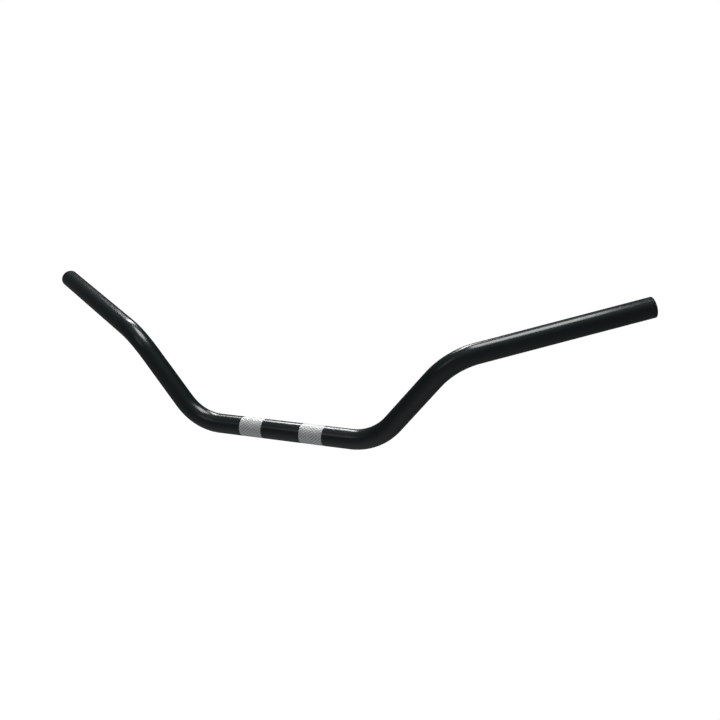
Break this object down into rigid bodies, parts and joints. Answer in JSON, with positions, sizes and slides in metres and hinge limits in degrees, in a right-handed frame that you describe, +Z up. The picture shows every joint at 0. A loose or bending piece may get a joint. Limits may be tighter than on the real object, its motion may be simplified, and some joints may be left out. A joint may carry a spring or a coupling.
{
  "type": "motorcycle handlebar",
  "caption": "Bent tubular motorcycle handlebar with raised, swept-back grip ends, black powder coat and bare knurled bands where the clamps grip it.",
  "frame": {"origin": "On the tube's centreline, midway between the two clamps that hold the bar", "axes": "+X along the clamped stretch towards the bar's right-hand end, +Y towards the rider, where the grips sweep back, +Z up in the plane of the risers"},
  "size_m": [0.7626, 0.1193, 0.1673],
  "materials": {
    "bare_steel": "bright bare steel, diamond-knurled",
    "powder_coat": "satin to gloss black powder coat"
  },
  "bodies": {
    "root": {"bar_tube": "bare_steel", "coating_left": "powder_coat", "coating_center": "powder_coat", "coating_right": "powder_coat"}
  },
  "joints": []
}
